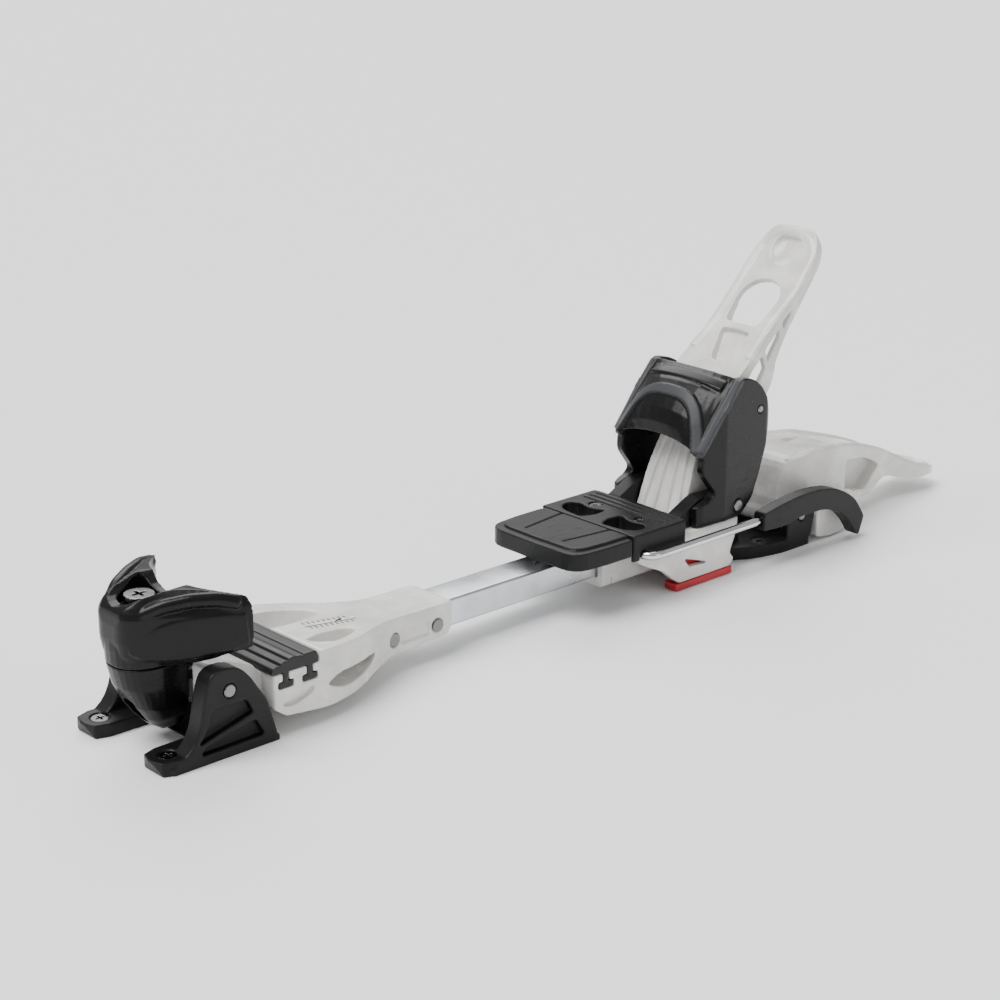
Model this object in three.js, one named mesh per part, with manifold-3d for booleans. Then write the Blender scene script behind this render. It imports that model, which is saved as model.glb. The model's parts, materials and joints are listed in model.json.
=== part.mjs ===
// Touring binding for skis: a frame that pivots on a toe base, with a releasing toe piece, a sliding
// plate, a heel carriage with its brake, a heel cup with an opening lever, and a rear lock lever.
// Millimetres. X runs from toe to heel, Z is up, the ski's top face is z = 0, and the toe pivot
// axis is above the origin.
import * as THREE from 'three';
import { mergeVertices } from 'three/addons/utils/BufferGeometryUtils.js';
import Module from 'manifold-3d';

const wasm = await Module();
wasm.setup();

// Driving dimensions
const GAP = 0.3;
const PIVOT_Z = 31.1;
const PIN_RADIUS = 3;
const TOE_AXIS_X = -20.2;
const POST_RADIUS = 7;
const NECK_FRONT = -7.4;
const SEAM_Z = 41.8;
const EAR_INNER = 26.5;
const EAR_OUTER = 35.9;
const TOE_SCREW = { x: -27.2, y: 26.4, z: 6.6 };
const RAIL = { half: 9.9, bottom: 12.4, top: 26.6, start: 98, end: 352 };
const RIVET_X = [109.4, 136.8];
const RIVET_Z = 18;
const SPRING_Z = 18;
const PAD_TOP = 40;
const PAD_HALF = 33.7;
const BRAKE_AXIS = { x: 259, z: 28.4 };
const WIRE_RADIUS = 2.2;
const BRAKE_ARM_Y = 38.4;
const HEEL_PIN = { x: 331.5, z: 38 };
const LEVER_FOOT = { x: 337.5, z: 102.5 };
const LEVER_LEAN = THREE.MathUtils.degToRad(44);
const LEVER_PIN = {
  x: LEVER_FOOT.x - 3 * Math.cos(LEVER_LEAN) + 18.4 * Math.sin(LEVER_LEAN),
  z: LEVER_FOOT.z - 3 * Math.sin(LEVER_LEAN) - 18.4 * Math.cos(LEVER_LEAN),
};
const LOCK_PIN = { x: 388, z: 18 };

// Colours: sRGB, roughness, metalness
const FINISHES = {
  black: ['#1b1b1d', 0.45, 0],
  grey: ['#2c2d30', 0.5, 0],
  white: ['#eceae6', 0.35, 0],
  red: ['#b5202b', 0.4, 0],
  aluminium: ['#c3c7cc', 0.3, 1],
  steel: ['#b4b6b8', 0.3, 1],
  chrome: ['#d8dadc', 0.12, 1],
};

const binding = new THREE.Group();

// ---------------------------------------------------------------- shapes and solids

// Closed outline; each point is [a, b] or [a, b, corner], where corner is how far along both edges
// the rounding of that corner reaches.
function outline(points) {
  const shape = new THREE.Shape();
  points.forEach(([a, b, corner = 0], i) => {
    const here = new THREE.Vector2(a, b);
    const reach = (other) => {
      const edge = new THREE.Vector2(other[0] - a, other[1] - b);
      return here.clone().add(edge.setLength(Math.min(corner, edge.length() * 0.49)));
    };
    const entry = reach(points.at(i - 1));
    const exit = reach(points[(i + 1) % points.length]);
    if (i === 0) shape.moveTo(entry.x, entry.y);
    else shape.lineTo(entry.x, entry.y);
    if (corner > 0) shape.quadraticCurveTo(a, b, exit.x, exit.y);
  });
  shape.closePath();
  return shape;
}

// Half outline given for b >= 0, joined to its mirror image.
function mirroredOutline(half) {
  const other = half.filter(([, b]) => b !== 0).reverse();
  return outline([...half, ...other.map(([a, b, corner]) => [a, -b, corner])]);
}

// Half outline in (y, z) given for y >= 0, joined to its mirror image.
function frontOutline(half) {
  const other = half.filter(([y]) => y !== 0).reverse();
  return outline([...half, ...other.map(([y, z, corner]) => [-y, z, corner])]);
}

function circle(x, y, radius) {
  const shape = new THREE.Shape();
  shape.absarc(x, y, radius, 0, Math.PI * 2);
  return shape;
}

function solid(geometry) {
  const bare = new THREE.BufferGeometry();
  bare.setAttribute('position', geometry.getAttribute('position'));
  bare.setIndex(geometry.getIndex());
  const merged = mergeVertices(bare, 1e-4);
  const index = merged.getIndex().array;
  const kept = [];
  for (let i = 0; i < index.length; i += 3) {
    const [a, b, c] = [index[i], index[i + 1], index[i + 2]];
    if (a !== b && b !== c && c !== a) kept.push(a, b, c);
  }
  const vertProperties = Float32Array.from(merged.getAttribute('position').array);
  return new wasm.Manifold(new wasm.Mesh({ numProp: 3, vertProperties, triVerts: Uint32Array.from(kept) }));
}

function extrusion(shape, depth, curveSegments) {
  return new THREE.ExtrudeGeometry(shape, { depth, curveSegments, steps: 1, bevelEnabled: false });
}

// Prism of an (x, z) shape between two y values.
function alongY(shape, low, high, curveSegments = 2) {
  return solid(extrusion(shape, high - low, curveSegments).rotateX(Math.PI / 2).translate(0, high, 0));
}

// Prism of an (x, y) shape between two z values.
function alongZ(shape, low, high, curveSegments = 2) {
  return solid(extrusion(shape, high - low, curveSegments).translate(0, 0, low));
}

// Prism of a (y, z) shape between two x values.
function alongX(shape, low, high, curveSegments = 2) {
  const turn = new THREE.Matrix4().makeBasis(
    new THREE.Vector3(0, 1, 0),
    new THREE.Vector3(0, 0, 1),
    new THREE.Vector3(1, 0, 0),
  );
  return solid(extrusion(shape, high - low, curveSegments).applyMatrix4(turn).translate(low, 0, 0));
}

function rodY(x, z, radius, low, high, sides = 16) {
  const rod = new THREE.CylinderGeometry(radius, radius, high - low, sides);
  return solid(rod.translate(x, (low + high) / 2, z));
}

function rodZ(x, y, radius, low, high, sides = 16, topRadius = radius) {
  const rod = new THREE.CylinderGeometry(topRadius, radius, high - low, sides).rotateX(Math.PI / 2);
  return solid(rod.translate(x, y, (low + high) / 2));
}

function rodX(y, z, radius, low, high, sides = 16) {
  const rod = new THREE.CylinderGeometry(radius, radius, high - low, sides).rotateZ(Math.PI / 2);
  return solid(rod.translate((low + high) / 2, y, z));
}

function block(lowX, highX, lowY, highY, lowZ, highZ) {
  const box = new THREE.BoxGeometry(highX - lowX, highY - lowY, highZ - lowZ);
  return solid(box.translate((lowX + highX) / 2, (lowY + highY) / 2, (lowZ + highZ) / 2));
}

// Body through level rings that all have as many points and run anticlockwise; a level is [z, ring],
// the lowest first.
function stacked(levels) {
  const [, base] = levels[0];
  const count = base.length;
  const points = levels.flatMap(([z, ring]) => ring.flatMap(([x, y]) => [x, y, z]));
  const caps = THREE.ShapeUtils.triangulateShape(base.map(([x, y]) => new THREE.Vector2(x, y)), []);
  const top = (levels.length - 1) * count;
  const faces = caps.flatMap(([a, b, c]) => [c, b, a, top + a, top + b, top + c]);
  for (let i = 0; i < top; i += 1) {
    const next = i % count === count - 1 ? i + 1 - count : i + 1;
    faces.push(i, next, next + count, i, next + count, i + count);
  }
  const geometry = new THREE.BufferGeometry();
  geometry.setAttribute('position', new THREE.Float32BufferAttribute(points, 3));
  geometry.setIndex(faces);
  return solid(geometry);
}

const join = (first, ...others) => others.reduce((sum, next) => sum.add(next), first);
const cut = (first, ...tools) => tools.reduce((rest, tool) => rest.subtract(tool), first);
const common = (first, ...others) => others.reduce((rest, next) => rest.intersect(next), first);

// The same (x, z) shape on both sides, between two distances from the centre plane.
function bothSides(shape, inner, outer, curveSegments = 2) {
  return alongY(shape, inner, outer, curveSegments).add(alongY(shape, -outer, -inner, curveSegments));
}

function add(name, finish, body, parent = binding) {
  const mesh = body.getMesh();
  const geometry = new THREE.BufferGeometry();
  geometry.setAttribute('position', new THREE.BufferAttribute(Float32Array.from(mesh.vertProperties), 3));
  geometry.setIndex(new THREE.BufferAttribute(Uint32Array.from(mesh.triVerts), 1));
  const [color, roughness, metalness] = FINISHES[finish];
  const piece = new THREE.Mesh(geometry, new THREE.MeshStandardMaterial({ color, roughness, metalness }));
  piece.name = name;
  parent.add(piece);
  return piece;
}

// Screw standing on its point along Z, with a cross recess in the head.
function screw(headRadius, headHeight, shankRadius, length, countersunk) {
  const lower = countersunk ? shankRadius : headRadius;
  const head = rodZ(0, 0, lower, -headHeight, 0, 16, headRadius);
  const shank = rodZ(0, 0, shankRadius, -length, -headHeight / 2, 8);
  const wing = headRadius * 0.5;
  const slot = headRadius * 0.11;
  const depth = Math.min(headHeight * 0.6, 2);
  const cross = join(
    block(-wing, wing, -slot, slot, -depth, 1),
    block(-slot, slot, -wing, wing, -depth, 1),
  );
  return cut(join(head, shank), cross);
}

// ---------------------------------------------------------------- toe base, screwed to the ski

function toeBase() {
  const [footA, footB] = [1, -1].map((side) => alongZ(outline([
    [-37, side * 17, 9], [-37, side * EAR_OUTER, 9], [26, side * EAR_OUTER], [26, side * 17],
    [-6, side * 17, 5],
  ]), 0, 8));
  const footSide = outline([[-34.5, 0], [-37, TOE_SCREW.z, 1], [-4, TOE_SCREW.z], [10, 3], [26, 3], [26, 0]]);
  const feet = common(join(footA, footB), alongY(footSide, -40, 40));
  const plate = join(block(8, 26, -30, 30, 0, 2.6), block(-4, 9, -14, 14, 0, 1));
  const earSide = outline([
    [-32, 3], [-22, 7.5, 5], [-16.5, 15, 6], [-13, 32, 5], [-9.5, 41.9, 6], [4, 41.9, 6], [11, 35, 4],
    [20, 21, 2], [26, 0], [-30, 0],
  ]);
  const ears = bothSides(earSide, EAR_INNER, EAR_OUTER, 4);
  const upperPocket = outline([
    [-9, 24.5, 2], [9, 24.5, 2], [12.3, 17.3, 1], [-17.5, 9.6, 1], [-12.6, 15, 3],
  ]);
  const lowerPocket = outline([[-14, 8.2, 1], [13.4, 13.6, 1], [18.2, 5, 1.5], [-16, 4.6, 1]]);
  const pockets = join(
    bothSides(upperPocket, EAR_OUTER - 3.4, EAR_OUTER + 1),
    bothSides(lowerPocket, EAR_OUTER - 3.4, EAR_OUTER + 1),
  );
  const holes = [-1, 1].map((side) => join(
    rodZ(TOE_SCREW.x, side * TOE_SCREW.y, 2.8, -1, 8, 16),
    rodZ(TOE_SCREW.x, side * TOE_SCREW.y, 2.8, TOE_SCREW.z - 3.4, TOE_SCREW.z + 0.01, 16, 5),
  ));
  const bore = rodY(0, PIVOT_Z, PIN_RADIUS + GAP, -40, 40, 24);
  add('toe_base', 'black', cut(join(feet, plate, ears), pockets, ...holes, bore));
  add('toe_pivot_pin', 'steel', rodY(0, PIVOT_Z, PIN_RADIUS, -EAR_OUTER - 0.4, EAR_OUTER + 0.4, 24));
  for (const [name, side] of [['toe_screw_left', 1], ['toe_screw_right', -1]]) {
    const piece = add(name, 'steel', screw(4.4, 2.9, 2.4, TOE_SCREW.z - 0.6, true));
    piece.position.set(TOE_SCREW.x, side * TOE_SCREW.y, TOE_SCREW.z - 0.5);
  }
}

// ---------------------------------------------------------------- front housing, turns on the toe pin

// Clearance round the rail, between two x values.
function railWay(low, high) {
  const width = RAIL.half + GAP;
  return block(low, high, -width, width, RAIL.bottom - GAP, RAIL.top + GAP);
}

function frontHousing() {
  const plan = mirroredOutline([
    [24.5, 0], [24.5, 35, 1.5], [56, 35, 9], [76, 30, 10], [96, 19.5, 12], [112, 14.9, 6], [148, 14.9, 5],
    [148, 0],
  ]);
  const side = outline([
    [24.5, 14], [31, 9.4, 1], [55, 6.8, 4], [84, 7, 8], [106, 10.6, 6], [143, 11, 4], [148, 17, 4],
    [148, 28.3, 3], [116, 28.6, 8], [92, 31, 10], [62, 34.6, 4], [50.4, 35.4, 1], [50.4, 30.2], [24.5, 30.2],
  ]);
  const wide = common(alongZ(plan, 0, 40, 3), alongY(side, -40, 40));
  const neckPlan = mirroredOutline([
    [1.9, 0], [1.9, 5], [0, 10.5, 2], [-4, 15.3, 2], [NECK_FRONT, 18.4, 1.5], [NECK_FRONT, 25.5, 2.5],
    [30, 25.5], [30, 0],
  ]);
  const neckSide = outline([
    [NECK_FRONT, 22, 4], [NECK_FRONT, 41, 5], [4, 41, 8], [20, 34.6, 2], [22.8, 30.2], [30, 30.2], [30, 12.2],
    [22, 14.5], [6, 17, 8],
  ]);
  const neck = common(alongZ(neckPlan, 0, 45), alongY(neckSide, -30, 30));
  const post = rodZ(TOE_AXIS_X, 0, POST_RADIUS, 30, SEAM_Z - 0.6, 20);
  const web = alongY(outline([
    [12, 37], [TOE_AXIS_X, 37], [-25.6, 30.4], [-21.5, 23.4], [-16.6, 17.6], [-13, 16], [12, 15.8],
  ]), -5.6, 5.6);
  const body = join(wide, neck, post, web);
  const recesses = [
    [[50.8, 1, 2], [62, 1.5, 4], [84, 8, 5], [82, 14, 5], [66, 21, 5], [50.8, 23, 4]],
    [[53, -20, 3], [64, -16, 6], [79, -15, 6], [85, -18, 3], [76, -24, 6], [62, -29, 6]],
  ].map((points) => alongZ(outline(points), 25, 40, 3));
  const window = outline([[54, 17.5, 3], [62, 21, 6], [94, 18.4, 3], [88, 13.6, 6], [66, 12.2, 8]]);
  const pocket = outline([[28, 15.5, 1], [47, 20, 1], [46, 16.4, 3], [34, 13, 3]]);
  const panel = outline([[114, 14.4, 1], [132, 14.4, 1], [132, 22, 1], [114, 22, 1]]);
  const slots = [31.2, 44.6].map((x) => alongY(outline([
    [x - 4.4, 22.8], [x + 4.4, 22.8], [x + 4.4, 26.4], [x + 1.9, 26.4], [x + 1.9, 31], [x - 1.9, 31],
    [x - 1.9, 26.4], [x - 4.4, 26.4],
  ]), -40, 40));
  const cuts = [
    ...recesses,
    ...slots,
    bothSides(window, 13, 40, 4),
    bothSides(pocket, 32.6, 40),
    bothSides(panel, 13.7, 40),
    railWay(RAIL.start - GAP, 150),
    rodX(0, SPRING_Z, 6.5, 52, 96),
    block(54, 94, -5, 5, 0, SPRING_Z),
    rodX(0, SPRING_Z, 2.6, -30, 55, 16),
    rodX(0, SPRING_Z, 4.3, -30, -12, 20),
    rodZ(TOE_AXIS_X, 0, 3.9, 28, 45),
    rodY(0, PIVOT_Z, PIN_RADIUS + GAP, -40, 40, 24),
    ...RIVET_X.map((x) => rodY(x, RIVET_Z, 2.3, -20, 20, 16)),
    ...RIVET_X.map((x) => bothSides(circle(x, RIVET_Z, 3.7), 14.1, 20, 8)),
    block(70, 96, -4.9, -3.9, 28, 40),
  ];
  add('front_housing', 'white', cut(body, ...cuts));
  add('scale_pointer', 'black', block(83, 86.4, -4.7, -4.1, 28.4, 32.2));
}

function rail() {
  const { half, bottom, top, start, end } = RAIL;
  const outer = alongX(frontOutline([[0, bottom], [half, bottom, 1], [half, top, 1], [0, top]]), start, end);
  const wall = 2.4;
  const hollow = block(start - 1, end + 1, wall - half, half - wall, bottom + wall, top - wall);
  const holes = RIVET_X.map((x) => rodY(x, RIVET_Z, 2.3, -20, 20, 16));
  add('rail_bar', 'aluminium', cut(outer, hollow, ...holes));
  ['housing_rivet_front', 'housing_rivet_rear'].forEach((name, i) => {
    const heads = bothSides(circle(RIVET_X[i], RIVET_Z, 3.3), 14.4, 15.4, 8);
    add(name, 'steel', join(rodY(RIVET_X[i], RIVET_Z, 2, -15, 15, 16), heads));
  });
}

// Round bar of the given radius swept along a curve.
function swept(curve, radius, steps, sides) {
  const section = new THREE.Shape();
  for (let i = 0; i < sides; i += 1) {
    const angle = (i / sides) * Math.PI * 2;
    const [a, b] = [radius * Math.cos(angle), radius * Math.sin(angle)];
    if (i === 0) section.moveTo(a, b);
    else section.lineTo(a, b);
  }
  section.closePath();
  return solid(new THREE.ExtrudeGeometry(section, { steps, bevelEnabled: false, extrudePath: curve }));
}

class Coil extends THREE.Curve {
  constructor(start, length, radius, turns) {
    super();
    Object.assign(this, { start, length, radius, turns });
  }

  getPoint(t, target = new THREE.Vector3()) {
    const angle = t * this.turns * Math.PI * 2;
    const [y, z] = [this.radius * Math.cos(angle), this.radius * Math.sin(angle)];
    return target.set(this.start.x + t * this.length, this.start.y + y, this.start.z + z);
  }
}

// Screw, nut and spring that set the toe piece's sideways release.
function toeRelease() {
  const slot = block(-15, -13.6, -2.8, 2.8, SPRING_Z - 0.5, SPRING_Z + 0.5);
  const head = cut(rodX(0, SPRING_Z, 3.9, -14.4, -12.4, 20), slot);
  add('release_adjuster', 'steel', join(head, rodX(0, SPRING_Z, 2.2, -12.6, 53.4, 12)));
  add('spring_plunger', 'steel', rodX(0, SPRING_Z, 6, 53.8, 58.6));
  const coil = new Coil(new THREE.Vector3(60.4, 0, SPRING_Z), 33, 4.6, 6);
  add('release_spring', 'steel', swept(coil, 1.1, 48, 5));
}

// ---------------------------------------------------------------- toe piece

// Level ring of the toe piece's barrel: half a superellipse in front, straight sides, flat at the rear.
function barrelRing(front, half, rear) {
  const middle = -15;
  const full = (value) => Math.sign(value) * Math.abs(value) ** 0.86;
  const arc = Array.from({ length: 17 }, (_, i) => {
    const angle = Math.PI / 2 + (i * Math.PI) / 16;
    return [middle + (middle - front) * full(Math.cos(angle)), half * full(Math.sin(angle))];
  });
  return [[rear, 2 - half], [rear, half - 2], [rear - 2, half], ...arc, [rear - 2, -half]];
}

// Level ring of the cap and its two wings, with its outer edge drawn in by a chamfer.
function wingRing(chamfer) {
  const half = [
    [-36.4, 0, 0, 1, 0], [-36.4, 9, 6, 0.9, -0.4], [-31, 14.5, 6, 0.6, -0.8], [-22, 18, 8, 0.4, -0.9],
    [-8, 27, 8, 0.45, -0.8], [6, 34.6, 6, 0.2, -0.5], [13.6, 37.3, 1, -0.1, -0.35],
    [6.6, 29.2, 2, 0, 0], [-1, 21, 6, 0, 0], [-5.2, 10, 6, 0, 0], [-5.6, 0, 0, 0, 0],
  ];
  const plan = half.map(([x, y, corner, alongX1, alongY1]) => [
    x + chamfer * alongX1, y + chamfer * alongY1, corner,
  ]);
  const ring = mirroredOutline(plan).getPoints(4).map(({ x, y }) => [x, y]);
  return ring.slice(0, -1).reverse();
}

function toePiece() {
  const side = outline([
    [-4.4, 4], [-4.4, 42.2], [1, 46, 4], [13, 48.2, 2], [18, 57, 3], [14.6, 64, 3], [11.4, 72, 0.6],
    [-4.5, 75.4, 8], [-20, 75, 8], [-29, 72.4, 6], [-35.4, 68.6, 3], [-38, 50], [-38, 4],
  ]);
  const front = frontOutline([
    [0, 3], [16.6, 3], [16.6, SEAM_Z], [24, 43], [38.5, 47.9], [38.5, 76], [14, 76, 3], [7, 70.4, 4],
    [0, 68.8],
  ]);
  const barrelLevels = [
    [7.6, -15.5, 5.5], [10, -19.5, 8.5], [14.5, -23.9, 11.5], [21, -28.6, 14], [31, -33.6, 15.4],
    [41.5, -36.1, 16], [50, -36.6, 16.3], [60, -36, 16.2],
  ];
  const barrel = stacked(barrelLevels.map(([z, nose, half]) => [z, barrelRing(nose, half, -5)]));
  const chamfers = [
    [41, 4], [44, 2.2], [48, 0.9], [54, 0], [65, 0], [67.5, 0.8], [70, 2.4], [73, 5], [78, 11],
  ];
  const wings = stacked(chamfers.map(([z, chamfer]) => [z, wingRing(chamfer)]));
  const whole = common(join(barrel, wings), alongY(side, -40, 40, 3), alongX(front, -40, 20));
  const well = rodZ(TOE_AXIS_X, 0, 8.6, 66, 80, 24);
  const floor = mirroredOutline([[-29, 0], [-29, 5, 3], [-20, 10, 4], [-10, 15, 5], [-9.6, 0]]);
  const terrace = alongZ(floor, 66, 80, 3);
  const screwHole = rodZ(TOE_AXIS_X, 0, 3.9, 30, 70);
  const above = block(-60, 60, -60, 60, SEAM_Z, 90);
  add('toe_cap', 'black', cut(common(whole, above), well, terrace, screwHole));

  const hollowLevels = [
    [11, -15.5, 6.5], [14.5, -19.8, 8.4], [21, -25.2, 11], [31, -30.4, 12.2], [44, -33, 12.8],
  ];
  const inside = stacked(hollowLevels.map(([z, nose, half]) => [z, barrelRing(nose, half, 5)]));
  const rear = block(-9, 5, -10.2, 10.2, 14.3, 60);
  const slot = alongX(frontOutline([[0, 12], [4.6, 12, 3], [4.6, 25, 3], [0, 25]]), -40, -15);
  const below = block(-60, 60, -60, 60, 0, SEAM_Z - GAP);
  const pinWay = rodY(0, PIVOT_Z, 7, -20, 20, 24);
  add('toe_shell', 'black', cut(common(barrel, below), inside, rear, slot, pinWay));
  const top = add('height_screw', 'steel', screw(6.9, 4.6, 3.6, 40, false));
  top.position.set(TOE_AXIS_X, 0, 71.4);
}

function slidingPlate() {
  const hooks = [31.2, 44.6].map((x) => outline([
    [x - 4, 23.2], [x + 4, 23.2], [x + 4, 26], [x + 1.5, 26], [x + 1.5, 31], [x - 1.5, 31], [x - 1.5, 26],
    [x - 4, 26],
  ]));
  const top = outline([
    [23.6, 30.6], [23.6, 33.1, 1], [27, 34.3], [27.4, 33.7], [28.4, 34], [28.6, 34.8], [31.4, 35.7],
    [31.8, 35.1], [32.8, 35.4], [33, 36.2], [35.5, 36.8, 1], [37.6, 36.2], [40, 36.2], [40.3, 35.5],
    [41.5, 35.5], [41.8, 36.2], [48.5, 36.2, 1.4], [49.6, 33, 1], [49.6, 30.6],
  ]);
  const half = 34.6;
  add('afd_plate', 'grey', join(alongY(top, -half, half), ...hooks.map((hook) => alongY(hook, -half, half))));
}

// ---------------------------------------------------------------- heel carriage on the rail

function carriage() {
  const sleeve = alongX(outline([[-14, 7.4, 2], [14, 7.4, 2], [14, 28.8], [-14, 28.8]]), 249, 340);
  const deck = block(263, 333, -31, 31, 27.4, 31.2);
  const plates = bothSides(outline([
    [257, 31.2], [257, 24, 3], [264, 19.8, 3], [277, 14.2, 4], [284, 8, 3], [289, 4.8, 1], [328, 4.8, 1],
    [331, 8.5, 1], [327.4, 12.2, 1.5], [331, 20], [333, 31.2],
  ]), 26.6, 31);
  const tunnel = railWay(240, 350);
  const window = bothSides(outline([[291.8, 17.5], [313.6, 10.4], [296.6, 11.9]]), 20, 40);
  const slit = block(255.4, 256.4, -15, 15, 0, 12.2);
  const wires = rodY(BRAKE_AXIS.x, BRAKE_AXIS.z, WIRE_RADIUS + 0.5, -40, 40, 16);
  const screws = [-16.4, 16.4].map((y) => rodZ(274, y, 1.9, 20, 40, 12));
  add('carriage_body', 'white', cut(join(sleeve, deck, plates), tunnel, window, slit, wires, ...screws));

  const tray = cut(block(286.5, 329.5, -31, 31, 0.5, 4.4), block(280, 317, -22.2, 22.2, 0, 6));
  const ribs = bothSides(outline([[289, 4], [289, 17], [294, 19], [318, 12], [322, 4]]), 22.4, 26.2);
  add('length_lock', 'red', join(tray, ribs));
}

function heelTower() {
  const profile = outline([
    [305, 31.5], [308.5, 42, 6], [313, 56, 8], [319.5, 70, 6], [325, 78.5, 5], [337, 79.5, 5], [345, 70, 5],
    [349, 48, 4], [349, 31.5],
  ]);
  const front = frontOutline([[0, 31.5], [17, 31.5], [16, 52, 10], [12.5, 80], [0, 80]]);
  const body = common(alongY(profile, -17, 17), alongX(front, 300, 352));
  const cavity = rodX(0, 60, 6.6, 319, 352);
  const bore = rodY(HEEL_PIN.x, HEEL_PIN.z, PIN_RADIUS + GAP, -20, 20);
  add('heel_tower', 'white', cut(body, cavity, bore));
  add('heel_pivot_pin', 'steel', rodY(HEEL_PIN.x, HEEL_PIN.z, PIN_RADIUS, -32.6, 32.6));
  add('heel_plunger', 'steel', rodX(0, 60, 6.2, 319.4, 323));
  const coil = new Coil(new THREE.Vector3(324.8, 0, 60), 13.4, 4.7, 4);
  add('heel_spring', 'steel', swept(coil, 1.1, 32, 5));
  const slot = block(344.6, 347, -4, 4, 59.4, 60.6);
  add('heel_release_screw', 'steel', cut(rodX(0, 60, 6.2, 339.9, 345.8), slot));
}

// ---------------------------------------------------------------- brake

function brakeBlock() {
  const plan = mirroredOutline([[251.6, 0], [251.6, PAD_HALF, 1], [290.6, PAD_HALF, 2], [292, 0]]);
  const body = alongZ(plan, 26, PAD_TOP);
  const hollow = block(240, 300, -31.4, 31.4, 20, 31.7);
  const kidneys = [-1, 1].map((side) => alongZ(outline([
    [254.4, side * 8, 2], [256, side * 24, 5], [264, side * 29, 4], [270, side * 24, 4],
    [266.5, side * 15, 4], [271, side * 6, 2], [262, side * 4.5, 3],
  ]), 30, 42));
  const grooves = [277.5, 282, 286.5].map((x) => block(x, x + 1.6, -29, 29, PAD_TOP - 1, PAD_TOP + 1));
  const wires = rodY(BRAKE_AXIS.x, BRAKE_AXIS.z, WIRE_RADIUS + 0.4, -40, 40, 16);
  const way = bothSides(outline([
    [BRAKE_AXIS.x - 2.6, 20], [BRAKE_AXIS.x + 2.6, 20],
    [BRAKE_AXIS.x + 2.6, BRAKE_AXIS.z], [BRAKE_AXIS.x - 2.6, BRAKE_AXIS.z],
  ]), 31, 40);
  const holes = [-16.4, 16.4].map((y) => join(
    rodZ(274, y, 1.9, 30, 42, 12),
    rodZ(274, y, 3.6, PAD_TOP - 2.4, PAD_TOP + 1, 20),
  ));
  add('brake_block', 'black', cut(body, hollow, ...kidneys, ...grooves, wires, way, ...holes));
  for (const [name, y] of [['pad_screw_left', 16.4], ['pad_screw_right', -16.4]]) {
    const piece = add(name, 'steel', screw(3.2, 1.8, 1.5, 11, false));
    piece.position.set(274, y, PAD_TOP - 0.6);
  }
}

function brakePedal() {
  const plan = mirroredOutline([
    [211.4, 0], [211.8, 26, 4], [216, 32, 4], [234, PAD_HALF, 6], [250.9, PAD_HALF, 1], [250.9, 0],
  ]);
  const inner = mirroredOutline([
    [214.6, 0], [215, 24, 4], [219, 29, 4], [236, 30.8, 6], [255, 30.8], [255, 0],
  ]);
  const rim = mirroredOutline([
    [215.4, 0], [216, 24, 4], [220, 28.4, 4], [236, 30, 6], [250.9, 30], [250.9, 0],
  ]);
  const body = alongZ(plan, 29.4, PAD_TOP - 1.4);
  const raised = alongZ(rim, PAD_TOP - 2, PAD_TOP);
  const hollow = alongZ(inner, 20, PAD_TOP - 4.4);
  const grooves = [-1, 1].map((side) => alongZ(outline([
    [221, side * 13], [251.2, side * 17], [251.2, side * 18.2], [221, side * 14.2],
  ]), PAD_TOP - 0.8, PAD_TOP + 1));
  add('brake_pedal', 'black', cut(join(body, raised), hollow, ...grooves));
}

function brakeArms() {
  const profile = outline([
    [341.5, 23.4, 1], [341.5, 33, 2], [356, 35.4, 4], [376, 37.6, 10], [400, 35.4, 12], [417, 25.5, 6],
    [425.8, 13, 2], [421.8, 2.4, 1.5], [419, 3.6, 2], [413.6, 11.6, 4], [404, 20.5, 6], [390, 24.6, 5],
    [372, 24.8, 3], [358, 22.4, 3],
  ]);
  for (const [side, hand] of [[1, 'left'], [-1, 'right']]) {
    const corner = 6;
    const ends = [side * 14.8, side * (BRAKE_ARM_Y - corner)].sort((a, b) => a - b);
    const bend = new THREE.QuadraticBezierCurve3(
      new THREE.Vector3(BRAKE_AXIS.x, side * (BRAKE_ARM_Y - corner - 0.2), BRAKE_AXIS.z),
      new THREE.Vector3(BRAKE_AXIS.x, side * BRAKE_ARM_Y, BRAKE_AXIS.z),
      new THREE.Vector3(BRAKE_AXIS.x + corner + 0.2, side * BRAKE_ARM_Y, BRAKE_AXIS.z),
    );
    add(`brake_wire_${hand}`, 'chrome', join(
      rodY(BRAKE_AXIS.x, BRAKE_AXIS.z, WIRE_RADIUS, ends[0], ends[1], 12),
      swept(bend, WIRE_RADIUS, 5, 12),
      rodX(side * BRAKE_ARM_Y, BRAKE_AXIS.z, WIRE_RADIUS, BRAKE_AXIS.x + corner, 372, 12),
    ));
    const arm = alongY(profile, side * BRAKE_ARM_Y - 3.9, side * BRAKE_ARM_Y + 3.9, 3);
    const bore = rodX(side * BRAKE_ARM_Y, BRAKE_AXIS.z, WIRE_RADIUS + GAP, 335, 372.4, 16);
    add(`brake_arm_${hand}`, 'black', cut(arm, bore));
  }
}

// ---------------------------------------------------------------- heel cup and its lever

// Lengthwise section of the hood at a distance from the centre plane: a straight edge between the
// cheeks, swelling into a dome towards the middle, over an arched lip.
function hoodRing(y) {
  const swell = 1 - (Math.abs(y) / 30) ** 2.4;
  const edge = [
    [301, 70.6], [304.2, 74.6], [309, 80.6], [315, 88], [322, 96.2], [331, 106.6], [334, 102.6],
    [327, 94.6], [320.5, 86.6], [314.5, 79.2], [310, 73.6], [306.2, 69.4],
  ];
  const dome = [
    [301.6, 76.8], [302.2, 83], [304.6, 90], [309.6, 96.6], [317.6, 102.2], [331, 107.4], [333, 103],
    [320.4, 98], [313.4, 92.8], [308.8, 86.8], [307, 81], [306.6, 76.4],
  ];
  return edge.map(([x, z], i) => [x + swell * (dome[i][0] - x), z + swell * (dome[i][1] - z)]).reverse();
}

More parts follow.
